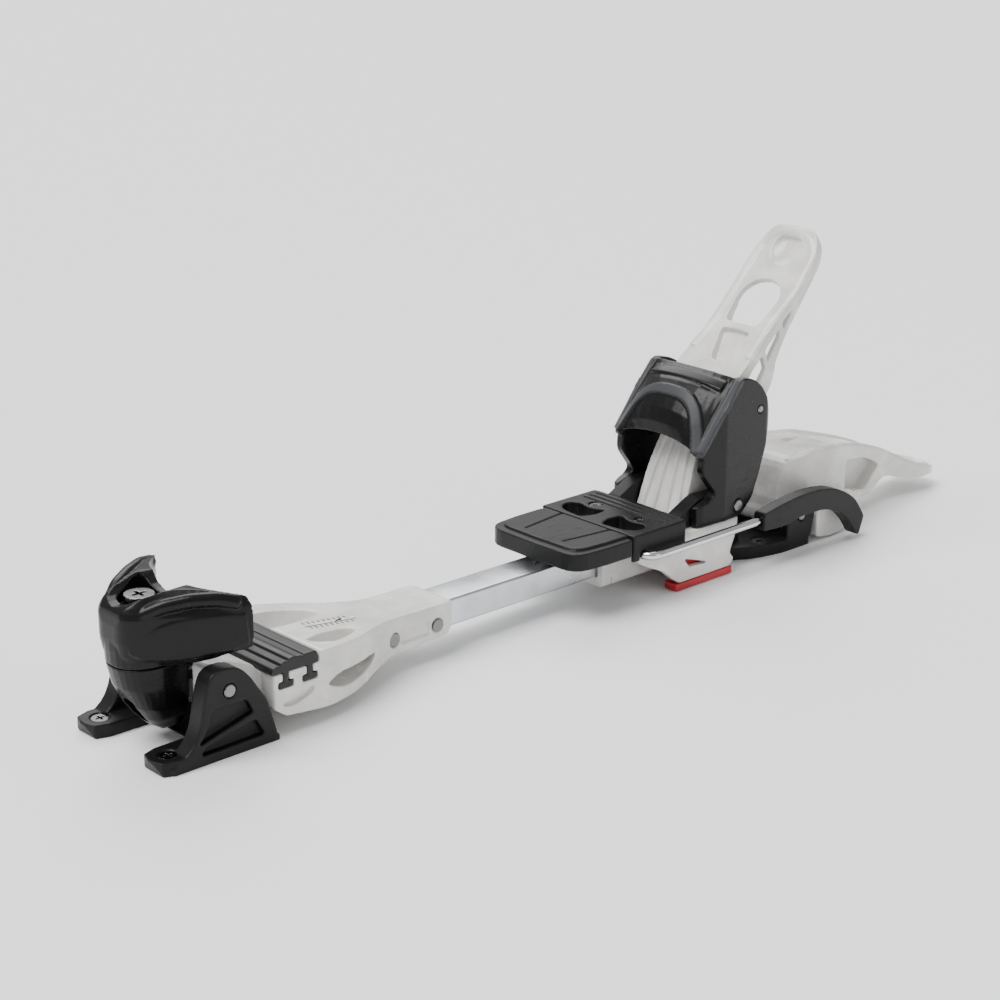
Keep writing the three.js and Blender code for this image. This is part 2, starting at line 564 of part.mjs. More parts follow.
function heelCup() {
  const cheek = outline([
    [300.5, 70.5, 1], [304.4, 69, 1.5], [303.6, 61.5, 3], [308, 55.5, 5], [313.6, 49, 3], [311, 45.6, 3],
    [293.4, 40, 1.5], [293.4, 33.4, 1], [300, 31.8, 2],
    [334, 31.8, 2], [337.8, 35.2, 2], [343, 38.6, 5], [351, 56, 20], [356.4, 72, 10], [357.2, 86, 8],
    [352, 97, 6], [343, 104.5, 5], [331.6, 107.2, 3], [317, 90.6, 30],
  ]);
  const plan = mirroredOutline([[301.8, 0], [300.5, 18], [300.6, 31, 4], [320, 33], [358, 30, 4], [358, 0]]);
  const rear = alongY(outline([
    [349.4, 58], [352, 57.6], [356.4, 72, 8], [356.8, 78], [353.2, 78], [352.4, 72, 8],
  ]), -27, 27);
  const walls = common(bothSides(cheek, 26.6, 33, 4), alongZ(plan, 0, 120));
  const stations = [-29.6, -27, -24, -20, -14, -7, 0, 7, 14, 20, 24, 27, 29.6];
  const hood = stacked(stations.map((y) => [y, hoodRing(y)])).rotate([90, 0, 0]);
  const roof = common(hood, alongZ(plan, 0, 120));
  const bore = rodY(HEEL_PIN.x, HEEL_PIN.z, PIN_RADIUS + GAP, -40, 40);
  const leverBore = rodY(LEVER_PIN.x, LEVER_PIN.z, 2.3, -31.6, 31.6, 16);
  add('heel_cup', 'black', cut(join(walls, roof, rear), bore, leverBore));
  const tread = outline([
    [292.6, 32.6, 1], [292.6, 38.6, 1], [308, 46, 3], [326, 45.4, 4], [337.5, 42.4, 4], [337.2, 35, 3],
    [333.4, 32.2, 2], [312, 32, 4],
  ]);
  for (const [side, hand] of [[1, 'left'], [-1, 'right']]) {
    const [low, high] = side > 0 ? [17.6, 26.2] : [-26.2, -17.6];
    add(`treadle_${hand}`, 'black', cut(alongY(tread, low, high), bore));
  }
}

function heelLever() {
  const frame = new THREE.Group();
  frame.position.set(LEVER_FOOT.x, 0, LEVER_FOOT.z);
  frame.rotation.y = -LEVER_LEAN;
  binding.add(frame);
  const plan = mirroredOutline([
    [-14, 0], [-14, 22.5, 3], [14, 22, 6], [34, 20.4, 10], [62, 22, 14], [84, 21.4, 10], [97, 15, 9],
    [100.6, 5, 4], [100.6, 0],
  ]);
  const side = outline([
    [-1, 0, 1], [28, -2.6, 12], [62, -4, 16], [86, -2.6, 10], [98, 1, 2], [101, -3.5, 3], [93, -8, 5],
    [70, -9.8, 4], [44, -14.7, 6], [28, -19.2, 5], [17, -25.4, 5], [8, -26.6, 4], [-2, -25.4, 3],
    [-9, -24, 4], [-9, -14, 3],
    [-1.4, -8, 2],
  ]);
  const inner = mirroredOutline([
    [4, 0], [4, 19.4, 2], [34, 17.4, 8], [62, 19, 8], [84, 18.4, 6], [90, 12, 6], [92, 0],
  ]);
  const bigWindow = mirroredOutline([[35.4, 0], [35.4, 11, 3], [56, 14.2, 8], [64, 8, 6], [65.4, 0]]);
  const lowWindow = mirroredOutline([[9.6, 0], [10.4, 3.4, 3], [30.6, 10, 2.5], [31.4, 0]]);
  const trusses = [
    [[7, -17, 1], [7, -7.4, 1], [22, -7.8, 1], [19, -15.2, 1]],
    [[22, -14.8, 1], [25.6, -8.2, 1], [40, -8.6, 1], [38, -12, 1]],
    [[42, -11.8, 1], [44, -8.2, 1], [56, -8, 1]],
    [[60, -8.2, 0.5], [67, -7.4, 0.5], [76, -7, 0.5], [70, -8.4, 0.5]],
  ].map((points) => bothSides(outline(points), 14, 30, 2));
  const dish = new THREE.SphereGeometry(1, 16, 8);
  const dishTool = solid(dish.scale(11, 10, 3.4).translate(84, 0, -1.6));
  const knuckle = common(
    rodY(-3, -18.4, 6.2, -22, 22, 16),
    block(-20, 20, -22, 22, -40, 0),
  );
  const pinHole = rodY(-3, -18.4, 2.3, -40, 40, 16);
  const shell = cut(
    common(alongZ(plan, -40, 10, 3), alongY(side, -30, 30)),
    alongZ(inner, -40, -7.2, 4),
    alongZ(bigWindow, -40, 10, 4),
    alongZ(lowWindow, -6, 10, 3),
    ...trusses,
    dishTool,
  );
  add('heel_lever', 'white', cut(join(shell, knuckle), pinHole), frame);
  add('heel_lever_pin', 'steel', rodY(-3, -18.4, 2, -31.2, 31.2, 16), frame);
}

// ---------------------------------------------------------------- heel base and lock lever

function heelBase() {
  const plan = mirroredOutline([
    [336.4, 0], [337, 13, 4], [352, 24, 8], [372, 29, 6], [396, 29, 2], [396.6, 0],
  ]);
  const plate = alongZ(plan, 0, 7);
  const saddle = block(346, 357, -11, 11, 6, 12.1);
  const ear = new THREE.Shape();
  ear.moveTo(LOCK_PIN.x - 11.4, 5);
  ear.lineTo(LOCK_PIN.x + 8.6, 5);
  ear.lineTo(LOCK_PIN.x + 11.4, LOCK_PIN.z);
  ear.absarc(LOCK_PIN.x, LOCK_PIN.z, 11.4, 0, Math.PI);
  ear.closePath();
  const ears = bothSides(ear, 24.6, 29, 10);
  const holes = [-1, 1].map((side) => join(
    rodZ(365, side * 19, 2.8, -1, 9, 16),
    rodZ(365, side * 19, 2.8, 3.6, 7.01, 16, 5),
  ));
  const bore = rodY(LOCK_PIN.x, LOCK_PIN.z, 2.8, -40, 40, 16);
  add('heel_base', 'black', cut(join(plate, saddle, ears), ...holes, bore));
  add('lock_lever_pin', 'steel', rodY(LOCK_PIN.x, LOCK_PIN.z, 2.5, -29.3, 29.3, 16));
  for (const [name, side] of [['heel_screw_left', 1], ['heel_screw_right', -1]]) {
    const piece = add(name, 'steel', screw(4.4, 2.9, 2.4, 6.2, true));
    piece.position.set(365, side * 19, 6.5);
  }
}

function lockLever() {
  const plan = mirroredOutline([
    [374, 0], [374, 20, 3], [396, 23.4, 4], [431, 21, 8], [456, 14, 10], [486, 11.4, 8], [503, 14.4, 6],
    [524, 14.8, 6], [532, 8, 4], [532, 0],
  ]);
  const side = outline([
    [376, 26, 3], [377, 40, 6], [384, 48.4, 6], [404, 50.4, 8], [437, 45.6, 16], [463, 38.2, 8],
    [478, 32.6, 8], [494, 24, 8], [508, 17, 8], [522, 13.6, 5], [531.6, 11.6, 1], [531.6, 8.4, 1],
    [510, 9, 6], [494, 12.6, 8], [482, 16.4, 5], [466, 8.4, 3], [452, 10, 5], [431, 15.6, 3],
    [401, 13], [398, 26, 4],
  ]);
  const body = common(alongZ(plan, 0, 60, 4), alongY(side, -30, 30, 3));
  const knuckle = rodY(LOCK_PIN.x, LOCK_PIN.z, 9.6, -24.2, 24.2, 20);
  const stem = block(381, 396, -20, 20, 18, 34);
  const foot = bothSides(outline([
    [401, 15], [401, 2.6, 2], [412, 0.8, 2], [422, 1.6, 3], [431, 5, 2], [431, 24, 3], [408, 26, 2],
  ]), 18, 29.6);
  const step = alongZ(outline([[408, -6, 2], [408, 6, 2], [440, 8, 3], [440, -8, 3]]), 46.5, 60);
  const pocket = outline([[436, 37, 3], [462, 31.6, 3], [476, 25, 3], [462, 13, 2], [436, 18, 3]]);
  const pockets = bothSides(pocket, 5, 30);
  const dimple = bothSides(circle(424, 10, 2.6), 26.6, 40, 8);
  const hollow = block(402, 428, -15, 15, 0, 43);
  const bore = rodY(LOCK_PIN.x, LOCK_PIN.z, 2.8, -40, 40, 16);
  const spoon = solid(new THREE.SphereGeometry(1, 14, 8).scale(9, 9.4, 3).translate(519, 0, 15));
  const whole = join(body, knuckle, stem, foot);
  add('lock_lever', 'white', cut(whole, pockets, hollow, step, dimple, bore, spoon));
}

toeBase();
frontHousing();
rail();
toeRelease();
toePiece();
slidingPlate();
carriage();
heelTower();
brakeBlock();
brakePedal();
brakeArms();
heelCup();
heelLever();
heelBase();
lockLever();

export default binding;
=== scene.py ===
"""Looks for a frame touring binding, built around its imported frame. Metres, X from toe to heel, Z up."""

import json
import math

import bmesh
import bpy
import numpy as np
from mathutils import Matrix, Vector


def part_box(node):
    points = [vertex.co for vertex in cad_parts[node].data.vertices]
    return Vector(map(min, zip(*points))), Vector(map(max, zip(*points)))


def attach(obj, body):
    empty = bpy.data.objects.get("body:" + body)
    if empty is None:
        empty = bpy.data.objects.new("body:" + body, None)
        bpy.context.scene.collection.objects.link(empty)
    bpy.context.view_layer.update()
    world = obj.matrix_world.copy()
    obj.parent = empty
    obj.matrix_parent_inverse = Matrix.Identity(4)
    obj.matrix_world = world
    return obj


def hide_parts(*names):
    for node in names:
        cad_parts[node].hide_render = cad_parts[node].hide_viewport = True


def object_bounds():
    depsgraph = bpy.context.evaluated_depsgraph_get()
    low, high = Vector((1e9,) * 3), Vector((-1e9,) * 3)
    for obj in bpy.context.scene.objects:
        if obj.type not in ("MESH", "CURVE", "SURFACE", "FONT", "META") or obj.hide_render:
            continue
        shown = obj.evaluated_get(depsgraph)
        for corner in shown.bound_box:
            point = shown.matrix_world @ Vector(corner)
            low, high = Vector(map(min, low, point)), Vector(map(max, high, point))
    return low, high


bl_info = {
    "name": "Touring binding",
    "version": (1, 0, 0),
    "blender": (4, 5, 0),
    "location": "3D View > Sidebar > Binding",
    "description": "Builds the mouldings, metal parts and stage of a frame touring binding",
    "category": "Object",
}

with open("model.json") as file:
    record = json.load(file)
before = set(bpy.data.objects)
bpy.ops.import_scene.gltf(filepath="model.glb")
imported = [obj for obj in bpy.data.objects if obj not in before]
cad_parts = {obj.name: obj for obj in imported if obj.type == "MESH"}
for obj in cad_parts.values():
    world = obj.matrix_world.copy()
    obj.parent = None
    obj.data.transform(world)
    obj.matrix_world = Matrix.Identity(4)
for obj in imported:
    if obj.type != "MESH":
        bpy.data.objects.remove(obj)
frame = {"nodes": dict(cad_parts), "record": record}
CAD_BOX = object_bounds()
NODES = frame["nodes"]
RECORD = frame["record"]
BODY_OF = {n: body for body, names in RECORD["behaviour"]["bodies"].items() for n in names}
MM = 0.001
MOST_TRIANGLES = 120_000


# ---------------------------------------------------------------- settings


def colour(name, description, default):
    return bpy.props.FloatVectorProperty(
        name=name, description=description, default=default, size=3, min=0, max=1, subtype="COLOR"
    )


def length(name, description, default):
    return bpy.props.FloatProperty(
        name=name, description=description, default=default, min=0, precision=5, unit="LENGTH"
    )


class BindingColours(bpy.types.PropertyGroup):
    """Linear colours of the finishes"""

    black: colour("Black", "Satin black of the toe piece and the heel cup", (0.0045, 0.0045, 0.005))
    grained: colour("Grained black", "Bases, pad and brake arms", (0.0065, 0.0065, 0.007))
    plate: colour("Plate", "Sliding plate", (0.010, 0.010, 0.0105))
    marks: colour("Marks", "Scale on the front housing", (0.03, 0.03, 0.032))
    # Lighter colour painted on the heel cup's raised bands as a highlight, where their chamfers catch the
    # light.
    band: colour("Band highlights", "Painted highlight on the heel cup's raised bands", (0.045, 0.046, 0.05))
    white: colour("White", "Gloss white mouldings", (0.70, 0.69, 0.665))
    red: colour("Red", "Length lock", (0.48, 0.012, 0.022))
    aluminium: colour("Aluminium", "Rail", (0.66, 0.68, 0.70))
    steel: colour("Steel", "Screws, rivets, pins and springs", (0.21, 0.21, 0.207))
    chrome: colour("Chrome", "Brake wires", (0.80, 0.80, 0.81))
    floor: colour("Floor", "Plain pale floor", (0.93, 0.93, 0.935))


class BindingSizes(bpy.types.PropertyGroup):
    """Sizes of the finishing details"""

    cell: length("Moulding cell", "Cell that mouldings are rebuilt on", 0.0006)
    wire_radius: length("Wire radius", "Radius of the brake wires", 0.0022)
    spring_wire: length("Spring wire", "Radius of the spring wire", 0.0011)
    edge: length("Edge radius", "Small radius on metal edges", 0.0004)
    rounds: bpy.props.IntProperty(
        name="Smoothing rounds", description="Rounds that soften a moulding's edges", default=4, min=0, max=20
    )


class BindingStage(bpy.types.PropertyGroup):
    """Camera and light"""

    lens: bpy.props.FloatProperty(
        name="Lens", description="Focal length in millimetres on a 36 mm sensor", default=80.5, min=10
    )
    eye: bpy.props.FloatVectorProperty(
        name="Eye", description="Place of the camera", default=(-0.5131, -0.7683, 0.4200), size=3,
        unit="LENGTH",
    )
    gaze: bpy.props.FloatVectorProperty(
        name="Gaze", description="Direction that the camera looks in", default=(0.6395, 0.6979, -0.3223),
        size=3,
    )
    power: bpy.props.FloatProperty(name="Light", description="Strength of all lamps", default=1.0, min=0)


# ---------------------------------------------------------------- meshes


def link(name, mesh):
    piece = bpy.data.objects.new(name, mesh)
    bpy.context.scene.collection.objects.link(piece)
    return piece


def outward(mesh):
    """Points every face of a closed mesh outwards."""
    tool = bmesh.new()
    tool.from_mesh(mesh)
    bmesh.ops.recalc_face_normals(tool, faces=tool.faces)
    tool.to_mesh(mesh)
    tool.free()


def tube_faces(rows, columns, closed_rows):
    """Quads of a grid of points whose columns wrap round, and whose rows wrap too if closed_rows."""
    index = np.arange(rows * columns).reshape(rows, columns)
    below = index if closed_rows else index[:-1]
    above = np.roll(index, -1, axis=0) if closed_rows else index[1:]
    quads = np.stack([below, np.roll(below, -1, axis=1), np.roll(above, -1, axis=1), above], axis=-1)
    return quads.reshape(-1, 4)


def rings_mesh(name, rings, closed_rows=False):
    """Closed surface through a stack of closed rings, an array of rows by columns by 3. Unless the rows
    wrap round too, each end is a fan from the ring's middle."""
    rows, columns, _ = rings.shape
    points = rings.reshape(-1, 3)
    faces = tube_faces(rows, columns, closed_rows).tolist()
    if not closed_rows:
        first = np.arange(columns)
        last = first + (rows - 1) * columns
        middle = len(points)
        points = np.vstack([points, rings[0].mean(axis=0), rings[-1].mean(axis=0)])
        for ring, pole in ((first, middle), (last, middle + 1)):
            fan = np.stack([ring, np.roll(ring, -1), np.full(columns, pole)], axis=-1)
            faces += fan.tolist()
    mesh = bpy.data.meshes.new(name)
    mesh.from_pydata(points.tolist(), [], faces)
    outward(mesh)
    return mesh


def rings_piece(name, rings, closed_rows=False):
    return link(name, rings_mesh(name, rings, closed_rows))


def smooth(piece, degrees=35):
    """Smooth shading that breaks at edges sharper than the angle."""
    piece.data.shade_smooth()
    tool = bmesh.new()
    tool.from_mesh(piece.data)
    for edge in tool.edges:
        if edge.is_manifold and edge.calc_face_angle() > math.radians(degrees):
            edge.smooth = False
    tool.to_mesh(piece.data)
    tool.free()


def baked(piece):
    """Puts a piece's modifiers into its mesh."""
    view = bpy.context.evaluated_depsgraph_get()
    mesh = bpy.data.meshes.new_from_object(piece.evaluated_get(view))
    piece.modifiers.clear()
    piece.data = mesh
    return piece


def moulding(node, cell, rounds, grown=()):
    """Soft-edged copy of a CAD node: its merged triangles, with any closed meshes that grow out of it,
    rebuilt as one skin on even cells and smoothed, then thinned if it is past the limit."""
    mesh = bpy.data.meshes.new(node)
    tool = bmesh.new()
    tool.from_mesh(NODES[node].data)
    bmesh.ops.remove_doubles(tool, verts=tool.verts, dist=1e-6)
    for other in grown:
        tool.from_mesh(other)
        bpy.data.meshes.remove(other)
    tool.to_mesh(mesh)
    tool.free()
    mesh.materials.clear()
    piece = link(node + "_moulding", mesh)
    rebuilt = piece.modifiers.new("Even cells", "REMESH")
    rebuilt.mode = "VOXEL"
    rebuilt.voxel_size = cell * 1
    soft = piece.modifiers.new("Soft edges", "SMOOTH")
    soft.factor = 0.5
    soft.iterations = rounds
    baked(piece)
    triangles = 2 * len(piece.data.polygons)
    if triangles > MOST_TRIANGLES:
        thin = piece.modifiers.new("Thin out", "DECIMATE")
        thin.ratio = MOST_TRIANGLES / triangles
        baked(piece)
    piece.data.shade_smooth()
    return piece


def dress(piece, node, finish):
    """Gives a piece its finish, lets it ride with its node's body and stand for the node."""
    piece.data.materials.clear()
    piece.data.materials.append(finish)
    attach(piece, BODY_OF[node])
    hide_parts(node)


# ---------------------------------------------------------------- shapes


def rounded_rectangle(width, height, radius, arc):
    """Points of a rectangle centred on the origin whose corners are quarter circles of arc + 1 points."""
    turn = np.linspace(0, math.pi / 2, arc + 1)
    quarters = [(1, 1, 0), (-1, 1, 1), (-1, -1, 2), (1, -1, 3)]
    parts = []
    for a, b, quarter in quarters:
        angle = turn + quarter * math.pi / 2
        centre = np.array([a * (width / 2 - radius), b * (height / 2 - radius)])
        parts.append(centre + radius * np.stack([np.cos(angle), np.sin(angle)], axis=-1))
    return np.vstack(parts)


def tube(path, radius, sides, ends=True):
    """Rings of a round tube along a path: each is a circle square to the path's direction, in a frame
    that is carried along without twisting. The end rings shrink to a small dome."""
    path = np.asarray(path, float)
    ahead = np.gradient(path, axis=0)
    ahead /= np.linalg.norm(ahead, axis=1, keepdims=True)
    side = np.cross(ahead[0], (0.0, 0.0, 1.0))
    if np.linalg.norm(side) < 1e-3:
        side = np.cross(ahead[0], (0.0, 1.0, 0.0))
    sides_at = []
    for direction in ahead:
        side = side - direction * (side @ direction)
        side = side / np.linalg.norm(side)
        sides_at.append(side)
    across = np.array(sides_at)
    up = np.cross(ahead, across)
    angle = np.linspace(0, 2 * math.pi, sides, endpoint=False)
    circle = np.cos(angle)[None, :, None] * across[:, None, :] + np.sin(angle)[None, :, None] * up[:, None, :]
    rings = path[:, None, :] + radius * circle
    if ends:
        step = radius * 0.3
        tips = [(0, -1.0), (-1, 1.0)]
        caps = [path[i] + sign * step * ahead[i] + radius * 0.72 * circle[i] for i, sign in tips]
        rings = np.concatenate([caps[0][None], rings, caps[1][None]])
    return rings


def ribbon(path, outwards, widths, heights, sides=20):
    """Rings of a flat raised band along a path. Each ring is a superellipse of power 4, as wide as
    widths across the path and as high as heights along outwards; a lone width or height holds all
    along."""
    path = np.asarray(path, float)
    ahead = np.gradient(path, axis=0)
    ahead /= np.linalg.norm(ahead, axis=1, keepdims=True)
    up = outwards - ahead * np.sum(outwards * ahead, axis=1, keepdims=True)
    up /= np.linalg.norm(up, axis=1, keepdims=True)
    across = np.cross(ahead, up)
    angle = np.linspace(0, 2 * math.pi, sides, endpoint=False)
    flat = np.sign(np.cos(angle)) * np.sqrt(np.abs(np.cos(angle)))
    tall = np.sign(np.sin(angle)) * np.sqrt(np.abs(np.sin(angle)))
    half = np.broadcast_to(np.asarray(widths, float) / 2, len(path))[:, None, None]
    rise = np.broadcast_to(np.asarray(heights, float), len(path))[:, None, None]
    return (
        path[:, None, :]
        + half * flat[None, :, None] * across[:, None, :]
        + rise * tall[None, :, None] * up[:, None, :]
    )


def even_path(points, count):
    """Points evenly spread along a line through the given ones, with its corners rounded by three
    passes of averaging each point with its neighbours."""
    points = np.asarray(points, float)
    steps = np.linalg.norm(np.diff(points, axis=0), axis=1)
    run = np.concatenate([[0.0], np.cumsum(steps)])
    at = np.linspace(0, run[-1], count)
    path = np.stack([np.interp(at, run, points[:, i]) for i in range(points.shape[1])], axis=-1)
    for _ in range(3):
        path[1:-1] = (path[:-2] + 2 * path[1:-1] + path[2:]) / 4
    return path


def nearness(piece, name, paths, reach):
    """Point attribute that is 1 on the paths and falls to 0 at reach from them, an array of points
    each."""
    mesh = piece.data
    points = np.empty(3 * len(mesh.vertices), np.float32)
    mesh.vertices.foreach_get("co", points)
    points = points.reshape(-1, 3)
    nearest = np.full(len(points), np.inf, np.float32)
    for path in paths:
        for step in path.astype(np.float32):
            nearest = np.minimum(nearest, np.linalg.norm(points - step, axis=1))
    value = np.clip(1.5 - 1.5 * nearest / reach, 0.0, 1.0)
    layer = mesh.attributes.new(name, "FLOAT", "POINT")
    layer.data.foreach_set("value", value)


def turned(profile, sides):
    """Rings of a turned part along +X: profile rows are (distance along X, radius), and each ring is the
    circle of that radius."""
    profile = np.asarray(profile, float)
    angle = np.linspace(0, 2 * math.pi, sides, endpoint=False)
    x = np.repeat(profile[:, :1], sides, axis=1)
    y = profile[:, 1:] * np.cos(angle)
    z = profile[:, 1:] * np.sin(angle)
    return np.stack([x, y, z], axis=-1)


# ---------------------------------------------------------------- finishes


def node_group(name, inputs, outputs):
    """Empty shader group with named sockets. inputs holds (name, default), outputs (name, type)."""
    group = bpy.data.node_groups.new(name, "ShaderNodeTree")
    for label, default in inputs:
        socket = group.interface.new_socket(label, in_out="INPUT", socket_type="NodeSocketFloat")
        socket.default_value = default
    for label, kind in outputs:
        group.interface.new_socket(label, in_out="OUTPUT", socket_type=kind)
    return group, group.nodes.new("NodeGroupInput"), group.nodes.new("NodeGroupOutput")


def math_node(tree, operation, first, second):
    node = tree.nodes.new("ShaderNodeMath")
    node.operation = operation
    for socket, value in zip(node.inputs, (first, second)):
        if isinstance(value, bpy.types.NodeSocket):
            tree.links.new(value, socket)
        else:
            socket.default_value = value
    return node.outputs[0]


def noise_node(tree, vector, scale, detail):
    node = tree.nodes.new("ShaderNodeTexNoise")
    tree.links.new(vector, node.inputs["Vector"])
    if isinstance(scale, bpy.types.NodeSocket):
        tree.links.new(scale, node.inputs["Scale"])
    else:
        node.inputs["Scale"].default_value = scale
    node.inputs["Detail"].default_value = detail
    return node.outputs["Fac"]


def ranged(tree, value, low, high, to_low=0.0, to_high=1.0):
    node = tree.nodes.new("ShaderNodeMapRange")
    node.interpolation_type = "SMOOTHSTEP"
    tree.links.new(value, node.inputs["Value"])
    node.inputs["From Min"].default_value = low
    node.inputs["From Max"].default_value = high
    node.inputs["To Min"].default_value = to_low
    node.inputs["To Max"].default_value = to_high
    return node.outputs["Result"]


def grain_group():
    """Moulded grain: fine pebbles plus soft mottling, as a height and a slow tone from 0 to 1."""
    group, given, out = node_group(
        "Moulded grain", [("Scale", 1500.0)], [("Height", "NodeSocketFloat"), ("Tone", "NodeSocketFloat")]
    )
    place = group.nodes.new("ShaderNodeTexCoord").outputs["Object"]
    pebbles = group.nodes.new("ShaderNodeTexVoronoi")
    pebbles.feature = "SMOOTH_F1"
    group.links.new(place, pebbles.inputs["Vector"])
    group.links.new(given.outputs["Scale"], pebbles.inputs["Scale"])
    fine = noise_node(group, place, given.outputs["Scale"], 3)
    height = math_node(group, "ADD", math_node(group, "MULTIPLY", pebbles.outputs["Distance"], -0.6), fine)
    group.links.new(height, out.inputs["Height"])
    group.links.new(noise_node(group, place, 55, 4), out.inputs["Tone"])
    return group


def sheen_and_rub_group():
    """Painted edge highlight and rubbing: where the surface is sharply convex, broken up by noise, as a mask
    from 0 to 1.
    """
    group, given, out = node_group(
        "Edge sheen and rubbing", [("Amount", 0.5), ("Breakup", 300.0)], [("Mask", "NodeSocketFloat")]
    )
    place = group.nodes.new("ShaderNodeTexCoord").outputs["Object"]
    convex = ranged(group, group.nodes.new("ShaderNodeNewGeometry").outputs["Pointiness"], 0.515, 0.60)
    broken = ranged(group, noise_node(group, place, given.outputs["Breakup"], 5), 0.35, 0.65)
    mask = math_node(group, "MULTIPLY", math_node(group, "MULTIPLY", convex, broken), given.outputs["Amount"])
    group.links.new(mask, out.inputs["Mask"])
    return group


def scuff_group():
    """Scuffs: thin stretched streaks and faint smudges, as a mask from 0 to 1."""
    group, given, out = node_group("Scuffs", [("Scale", 90.0)], [("Mask", "NodeSocketFloat")])
    place = group.nodes.new("ShaderNodeTexCoord").outputs["Object"]
    stretch = group.nodes.new("ShaderNodeMapping")
    stretch.inputs["Rotation"].default_value = (0.2, 0.4, 0.5)
    stretch.inputs["Scale"].default_value = (1.0, 7.0, 7.0)
    group.links.new(place, stretch.inputs["Vector"])
    lines = noise_node(group, stretch.outputs["Vector"], given.outputs["Scale"], 6)
    streaks = ranged(group, lines, 0.56, 0.7)
    smudges = ranged(group, noise_node(group, place, 30, 3), 0.35, 0.75)
    group.links.new(math_node(group, "MULTIPLY", streaks, smudges), out.inputs["Mask"])
    return group


def brushed_group():
    """Brushed metal: very long fine lines along the part's X, as a height."""
    group, given, out = node_group("Brushed metal", [("Scale", 2200.0)], [("Height", "NodeSocketFloat")])
    stretch = group.nodes.new("ShaderNodeMapping")
    stretch.inputs["Scale"].default_value = (0.02, 1.0, 1.0)
    group.links.new(group.nodes.new("ShaderNodeTexCoord").outputs["Object"], stretch.inputs["Vector"])
    lines = noise_node(group, stretch.outputs["Vector"], given.outputs["Scale"], 4)
    group.links.new(lines, out.inputs["Height"])
    return group


def effect(tree, group_name, **values):
    node = tree.nodes.new("ShaderNodeGroup")
    node.node_tree = bpy.data.node_groups[group_name]
    for label, value in values.items():
        node.inputs[label].default_value = value
    return node


def blended(tree, factor, first, second):
    """Colour that goes from first to second as factor goes from 0 to 1."""
    node = tree.nodes.new("ShaderNodeMix")
    node.data_type = "RGBA"
    tree.links.new(factor, node.inputs["Factor"])
    for socket, value in ((node.inputs[6], first), (node.inputs[7], second)):
        if isinstance(value, bpy.types.NodeSocket):
            tree.links.new(value, socket)
        else:
            socket.default_value = (*value, 1.0)
    return node.outputs[2]


def new_material(name):
    material = bpy.data.materials.new(name)
    material.use_nodes = True
    return material, material.node_tree, material.node_tree.nodes["Principled BSDF"]


def bumped(tree, shader, height, strength, distance):
    bump = tree.nodes.new("ShaderNodeBump")
    bump.inputs["Strength"].default_value = strength
    bump.inputs["Distance"].default_value = distance
    tree.links.new(height, bump.inputs["Height"])
    tree.links.new(bump.outputs["Normal"], shader.inputs["Normal"])


def plastic(name, tint, sheen_and_rub_colour, gloss, grain, depth, sheen_and_rub_share, shine=0.5, coat=0.0, band=None):
    """Moulded plastic. gloss is (smoothest, roughest), grain is pebbles per metre and depth their height;
    the third argument is the lighter colour of the painted edge highlight and rubbing on convex edges, in the
    share given by the seventh; band is the painted highlight colour on its raised bands."""
    material, tree, shader = new_material(name)
    texture = effect(tree, "Moulded grain", Scale=grain)
    edges = effect(tree, "Edge sheen and rubbing", Amount=sheen_and_rub_share)
    scuffs = effect(tree, "Scuffs")
    light = tuple(min(1.0, c * 1.12) for c in tint)
    dark = tuple(c * 0.88 for c in tint)
    base = blended(tree, ranged(tree, texture.outputs["Tone"], 0.3, 0.7), dark, light)
    rough = math_node(tree, "ADD", scuffs.outputs["Mask"], texture.outputs["Tone"])
    # Painted highlight on the raised bands: where the band mask is high, the colour turns lighter and the
    # surface rougher.
    if band:
        near = tree.nodes.new("ShaderNodeAttribute")
        near.attribute_name = "band"
        mask = ranged(tree, near.outputs["Fac"], 0.2, 0.7)
        base = blended(tree, mask, base, band)
        rough = math_node(tree, "ADD", rough, mask)
    # Convex edges blend to the lighter edge colour: painted edge highlight and rubbing.
    tree.links.new(blended(tree, edges.outputs["Mask"], base, sheen_and_rub_colour), shader.inputs["Base Color"])
    tree.links.new(ranged(tree, rough, 0.3, 1.3, gloss[0], gloss[1]), shader.inputs["Roughness"])
    bumped(tree, shader, texture.outputs["Height"], 0.5, depth)
    shader.inputs["Specular IOR Level"].default_value = shine
    shader.inputs["Coat Weight"].default_value = coat
    shader.inputs["Coat Roughness"].default_value = 0.12
    return material


def metal(name, tint, gloss, lines, depth):
    """Metal with brushed lines or fine grain. gloss is (smoothest, roughest)."""
    material, tree, shader = new_material(name)
    texture = effect(tree, "Moulded grain", Scale=lines)
    scuffs = effect(tree, "Scuffs", Scale=160.0)
    brushed = effect(tree, "Brushed metal", Scale=lines)
    dark = tuple(c * 0.82 for c in tint)
    base = blended(tree, ranged(tree, texture.outputs["Tone"], 0.3, 0.7), dark, tint)
    tree.links.new(base, shader.inputs["Base Color"])
    shader.inputs["Metallic"].default_value = 1.0
    rough = math_node(tree, "ADD", scuffs.outputs["Mask"], texture.outputs["Tone"])
    tree.links.new(ranged(tree, rough, 0.3, 1.0, gloss[0], gloss[1]), shader.inputs["Roughness"])
    bumped(tree, shader, brushed.outputs["Height"], 0.4, depth)
    return material


